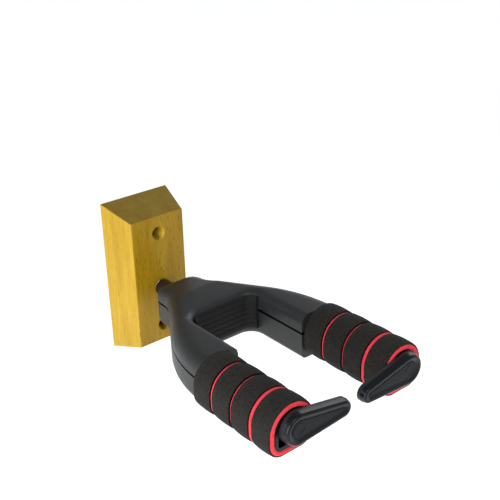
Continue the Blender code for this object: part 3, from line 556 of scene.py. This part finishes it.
THROAT_HALF_WIDTH = 24.0 * MM       # the neck gap, as the CAD shells have it
THROAT_REAR = 90.0 * MM
THROAT_CORNER = 8.0 * MM
PAD_GAP = 0.3 * MM                  # between the pad's back and the shells
PAD_THICK = 1.8 * MM
PAD_EASE = 0.7 * MM                 # rounding of its upper and lower edges
PAD_RIBS, RIB_STEPS = 6, 6
RIB_HEIGHT = 0.35 * MM
PAD_TURN_START, PAD_TURN_SPAN, PAD_TURN_STEPS = -12, 78, 16     # degrees round each corner
PAD_REAR_STEPS = 12


def pad_section(low, high):
    """The strip cut across: a flat back, rounded ends and a ribbed face. t is 0 at the face."""
    pitch = (high - low - 2 * PAD_EASE) / PAD_RIBS
    face = []
    for rib in range(PAD_RIBS):
        base = low + PAD_EASE + rib * pitch
        face += [(RIB_HEIGHT * (1 - math.sin(math.pi * i / RIB_STEPS) ** 0.5),
                  base + pitch * i / RIB_STEPS) for i in range(RIB_STEPS)]
    face.append((RIB_HEIGHT, high - PAD_EASE))
    top = [(PAD_EASE - PAD_EASE * math.cos(math.radians(a)) * 0.5,
            high - PAD_EASE + PAD_EASE * math.sin(math.radians(a))) for a in (30, 60, 90)]
    bottom = [(t, low + high - z) for t, z in reversed(top)]
    return bottom + face + top + [(PAD_THICK, high), (PAD_THICK, low)]


def make_throat_pad():
    """A ribbed rubber strip round the back of the neck gap, in the CAD strip's own space."""
    low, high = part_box("throat_pad")
    centre = THROAT_HALF_WIDTH - THROAT_CORNER
    depth = THROAT_REAR + THROAT_CORNER
    reach = THROAT_CORNER - PAD_GAP - PAD_THICK
    angles = [PAD_TURN_START - PAD_TURN_SPAN * i / PAD_TURN_STEPS
              for i in range(PAD_TURN_STEPS + 1)]
    path = [(centre, angle) for angle in angles]
    path += [(centre * (1 - 2 * i / PAD_REAR_STEPS), -90.0) for i in range(1, PAD_REAR_STEPS)]
    path += [(-centre, -180.0 - angle) for angle in reversed(angles)]
    section = pad_section(low.z, high.z)
    loops = []
    for x, angle in path:
        out = Vector((math.cos(math.radians(angle)), math.sin(math.radians(angle))))
        loops.append([(x + out.x * (reach + t), -(depth + out.y * (reach + t)), z)
                      for t, z in section])
    points, faces = skin(loops)
    made = add_piece("neck_rest_pad", points, faces, LOOKS["rubber"], "yoke")
    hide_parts("throat_pad")


# ---------------------------------------------------------------- gates

PADDLE_ROOT = 9.6 * MM              # radius round the pivot
PADDLE_TIP = 5.4 * MM               # radius at the tip
PADDLE_LENGTH = 30.9 * MM           # from the pivot to the tip's centre
ROOT_STEPS, TIP_STEPS = 60, 28
GATE_DROOP = math.radians(4.0)      # a shut gate's tip hangs this far below level
PADDLE_DRAFT = 0.5 * MM             # the front outline is this much smaller than the back one
RIM_WIDTH, RIM_HEIGHT = 1.5 * MM, 1.6 * MM
BED_DROP = 1.6 * MM                 # the panel's bed lies this far behind the paddle's front
PANEL_DROP = 0.86 * MM              # and the panel's face this far
PLATE_GAP = 0.02 * MM               # between the rear plate and the paddle
SCREW_SEAT = (3.5 * MM, 2.7 * MM)   # radius, and distance behind the paddle's front
SCREW_HOLE_RADIUS = 1.7 * MM
SHAFT_SEAT = (3.3 * MM, 1.4 * MM)   # radius, and depth from the rear plate's back
BUSH_SEAT = (6.3 * MM, 1.0 * MM)
BOSS_RADIUS = 3.8 * MM

# Side views, in millimetres. A margin is how far in from the gate's outline a line lies.
REAR_EDGE = ((0.75, 0.0), (0.45, 0.07), (0.25, 0.25), (0.15, 0.6))      # margin, rise
BACK_EDGE = ((0.22, 0.0), (0.07, 0.08), (0.0, 0.25))                    # margin, rise
BED_SLOPE = ((2.35, 0.03), (2.7, 0.14), (3.1, 0.36), (3.5, 0.62), (3.8, 0.80), (4.05, 0.90),
             (4.25, 0.96), (4.34, 1.04), (4.36, 1.20), (4.36, 1.55), (4.9, 1.6))  # margin, drop
PANEL_EDGE = ((4.9, -0.7), (4.58, -0.7), (4.50, -0.62), (4.48, -0.2), (4.53, -0.08),
              (4.62, -0.01), (4.75, 0.0), (5.2, 0.02))                  # margin, rise
BOSS = ((0.3, 0.02), (0.1, 0.03), (0.0, 0.12), (-0.2, 0.18), (-0.5, 0.18), (-0.7, 0.12),
        (-0.8, 0.05), (-1.0, 0.04), (-3.5, 0.10))           # past the boss's radius, rise


def teardrop(margin):
    """The gate's outline set in by a margin: root round the pivot, tip to the right."""
    root, tip = PADDLE_ROOT - margin, PADDLE_TIP - margin
    lean = math.degrees(math.acos((root - tip) / PADDLE_LENGTH))
    return (arc(0, 0, root, lean, 360 - lean, ROOT_STEPS)
            + arc(PADDLE_LENGTH, 0, tip, -lean, lean, TIP_STEPS))


def ring_of(radius):
    """A circle round the pivot, with a point in line with each of the teardrop's points."""
    angles = [math.atan2(y, x) for x, y in teardrop(0.0)]
    return [(radius * math.cos(angle), radius * math.sin(angle)) for angle in angles]


def plate(piece, name, rows, look, node, closed=False):
    """A moulding that droops from the gate's pivot. Each row is (outline, depth)."""
    side = SIDES[name]
    low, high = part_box(f"gate_shaft_{name}")
    pivot = (low + high) / 2
    across, down = math.cos(GATE_DROOP), math.sin(GATE_DROOP)
    loops = [[(pivot.x - side * (x * across + z * down), -depth,
               pivot.z + z * across - x * down) for x, z in outline] for outline, depth in rows]
    points, faces = skin(loops, closed)
    if side > 0:                    # mirrored, so the faces are turned round again
        faces = [face[::-1] for face in faces]
    made = add_piece(piece, points, faces, look, f"gate_{name}", sharp=35.0)
    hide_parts(node)


def make_gate_rear(name):
    """The gate's rear plate, with the seats of the bush's flange and the shaft."""
    low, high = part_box(f"gate_back_{name}")
    front, back = -low.y, -high.y
    shaft_floor, bush_floor = back + SHAFT_SEAT[1], back + BUSH_SEAT[1]
    rows = [(teardrop(margin * MM), back + rise * MM) for margin, rise in REAR_EDGE]
    rows += [(teardrop(0.15 * MM), front - 0.08 * MM), (teardrop(0.22 * MM), front)]
    rows += [(ring_of(radius), depth) for radius, depth in (
        (SCREW_HOLE_RADIUS, front), (SCREW_HOLE_RADIUS, shaft_floor),
        (SHAFT_SEAT[0], shaft_floor), (SHAFT_SEAT[0], bush_floor),
        (BUSH_SEAT[0], bush_floor), (BUSH_SEAT[0], back))]
    plate(f"gate_rear_{name}", name, rows, LOOKS["satin_plastic"],
          f"gate_back_{name}", closed=True)


def make_gate_arm(name):
    """The paddle, with a broad rounded rim, a bed for the panel and a seat for the screw."""
    front = -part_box(f"gate_paddle_{name}")[0].y
    back = -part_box(f"gate_back_{name}")[0].y + PLATE_GAP
    floor, seat = front - BED_DROP, front - SCREW_SEAT[1]
    turns = [math.radians(a) for a in range(0, 91, 9)]
    wall = [(margin * MM, back + rise * MM) for margin, rise in BACK_EDGE]
    wall += [(PADDLE_DRAFT + RIM_WIDTH - RIM_WIDTH * math.cos(turn),
              front - RIM_HEIGHT + RIM_HEIGHT * math.sin(turn)) for turn in turns]
    wall += [(margin * MM, front - drop * MM) for margin, drop in BED_SLOPE]
    rows = [(teardrop(margin), depth) for margin, depth in wall]
    rows += [(ring_of(radius), depth) for radius, depth in (
        (SCREW_SEAT[0], floor), (SCREW_SEAT[0], seat),
        (SCREW_HOLE_RADIUS, seat), (SCREW_HOLE_RADIUS, back))]
    plate(f"gate_arm_{name}", name, rows, LOOKS["black_plastic"],
          f"gate_paddle_{name}", closed=True)


def make_gate_panel(name):
    """The sunk panel, with a faint round boss over the pivot."""
    top = -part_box(f"gate_paddle_{name}")[0].y - PANEL_DROP
    rows = [(teardrop(margin * MM), top + rise * MM) for margin, rise in PANEL_EDGE]
    rows += [(ring_of(BOSS_RADIUS + grow * MM), top + rise * MM) for grow, rise in BOSS]
    plate(f"gate_panel_{name}", name, rows, PANEL, f"gate_cap_{name}")


# ---------------------------------------------------------------- room, light and camera

FLOOR_REACH, FLOOR_HEIGHT = 12.0, -0.55     # well below the hanger, which a wall would hold
FLOOR_GLOW = 0.68
HORIZON = (0.06, (0.80, 0.81, 0.82, 1.0))   # height on a unit sphere, and colour there
OVERHEAD = (0.55, (0.32, 0.33, 0.335, 1.0))
LAMP_TARGET = (0.0, -0.1, 0.0)
LAMPS = (                                   # name, place, size, watts, colour
    ("key", (-1.05, -0.35, 0.18), (0.7, 0.9), 10.5, (1.0, 0.98, 0.94)),
    ("top", (-0.25, -0.85, 0.75), (0.6, 0.4), 3.0, WHITE),
    ("rim", (0.9, 0.25, 0.5), (0.5, 0.5), 2.0, (0.95, 0.97, 1.0)),
)
SENSOR_WIDTH, LENS = 36.0, 65.0             # in millimetres, as Blender has them
CLIP_START = 0.01
CAMERA_PLACE = (-0.2886, -0.4723, 0.2670)
CAMERA_TURN, CAMERA_DROP, CAMERA_ROLL = (math.radians(a) for a in (39.23, 25.10, -1.35))


def make_floor():
    mesh = bpy.data.meshes.new("floor")
    corners = ((-1, -1), (1, -1), (1, 1), (-1, 1))
    mesh.from_pydata([(x * FLOOR_REACH, y * FLOOR_REACH, FLOOR_HEIGHT) for x, y in corners],
                     [], [(0, 1, 2, 3)])
    look = Look("pale_floor", roughness=0.9, specular=0.1)
    look.fix({"Emission Color": (*WHITE, 1.0), "Emission Strength": FLOOR_GLOW})
    shade = look.mix(look.noise(0.5), (0.80, 0.80, 0.80), (0.84, 0.84, 0.84))
    mesh.materials.append(look.drive(Base_Color=shade))
    place_object("floor", mesh)


def make_world():
    """A studio that is bright at the horizon, where the floor ends, and dimmer overhead."""
    world = bpy.data.worlds.new("studio")
    world.use_nodes = True
    bpy.context.scene.world = world
    tree = world.node_tree
    place, parts, ramp = (tree.nodes.new("ShaderNode" + kind)
                          for kind in ("TexCoord", "SeparateXYZ", "ValToRGB"))
    for element, (position, colour) in zip(ramp.color_ramp.elements, (HORIZON, OVERHEAD)):
        element.position, element.color = position, colour
    tree.links.new(place.outputs["Generated"], parts.inputs["Vector"])
    tree.links.new(parts.outputs["Z"], ramp.inputs["Fac"])
    tree.links.new(ramp.outputs["Color"], tree.nodes["Background"].inputs["Color"])


def make_lamp(name, place, size, watts, colour):
    data = bpy.data.lights.new(name, "AREA")
    data.shape = "RECTANGLE"
    data.size, data.size_y = size
    data.energy = watts
    data.color = colour
    lamp = place_object(name, data)
    lamp.location = place
    aim = Vector(LAMP_TARGET) - lamp.location
    lamp.rotation_euler = aim.to_track_quat("-Z", "Y").to_euler()


def make_camera():
    data = bpy.data.cameras.new("camera")
    data.sensor_width = SENSOR_WIDTH
    data.lens = LENS
    data.clip_start = CLIP_START
    camera = place_object("camera", data)
    aim = Euler((math.pi / 2 - CAMERA_DROP, 0.0, -CAMERA_TURN)).to_quaternion()
    camera.rotation_mode = "QUATERNION"
    camera.rotation_quaternion = aim @ Quaternion((0.0, 0.0, 1.0), CAMERA_ROLL)
    camera.location = CAMERA_PLACE
    bpy.context.scene.camera = camera


make_camera()
make_world()
make_floor()
for lamp_row in LAMPS:
    make_lamp(*lamp_row)
finish_cad_nodes()
for side_name in SIDES:
    make_bands(side_name)
    make_red_sleeve(side_name)
    make_gate_rear(side_name)
    make_gate_arm(side_name)
    make_gate_panel(side_name)
make_throat_pad()
bpy.context.scene.view_settings.view_transform = "Standard"
